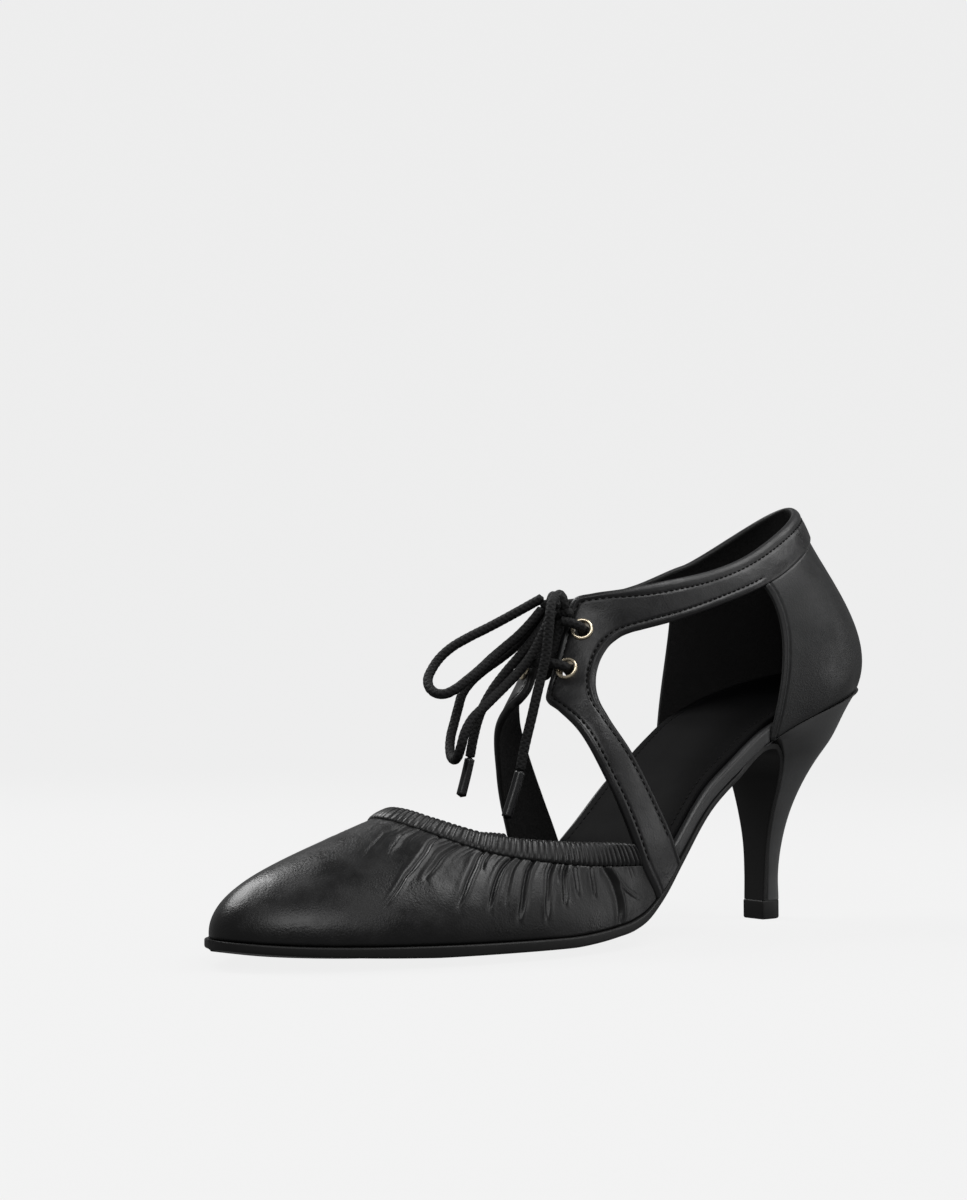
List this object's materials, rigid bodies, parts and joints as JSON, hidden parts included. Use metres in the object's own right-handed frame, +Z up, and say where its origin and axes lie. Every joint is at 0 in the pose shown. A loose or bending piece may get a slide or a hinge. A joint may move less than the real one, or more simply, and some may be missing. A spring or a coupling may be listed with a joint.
{
  "type": "lace-up court shoe",
  "caption": "Black leather court shoe with a gathered pointed vamp, open waist, straps laced at the ankle in a bow, a closed heel cup and a slim high heel.",
  "frame": {"origin": "on the floor, under the middle of the shoe's length and width", "axes": "+X from toe to heel along the shoe, +Y to its inner (medial) side, +Z up"},
  "size_m": [0.2335, 0.0777, 0.13],
  "materials": {
    "upper_leather": "soft black leather with a low gloss and a fine grain",
    "binding": "gathered black leather over elastic",
    "sock": "matt black leather",
    "board_wrap": "wrapped black leather edge",
    "heel_cover": "stretched black leather",
    "sole_edge": "matt black",
    "top_piece": "matt black",
    "eyelet_metal": "polished pale gold",
    "lace_cord": "round black braid",
    "lace_tip": "clear film over black braid"
  },
  "bodies": {
    "root": {"outsole": "sole_edge", "heel": "heel_cover", "heel_top_piece": "top_piece", "insole_board": "board_wrap", "insole": "sock", "upper": "upper_leather", "throat_binding": "binding", "eyelet_lateral_lower": "eyelet_metal", "eyelet_lateral_upper": "eyelet_metal", "eyelet_medial_lower": "eyelet_metal", "eyelet_medial_upper": "eyelet_metal", "lace_bars": "lace_cord", "lace_knot": "lace_cord", "lace_loop_high": "lace_cord", "lace_loop_low": "lace_cord", "lace_end_front": "lace_cord", "lace_end_back": "lace_cord", "lace_tip_front": "lace_tip", "lace_tip_back": "lace_tip"}
  },
  "joints": []
}
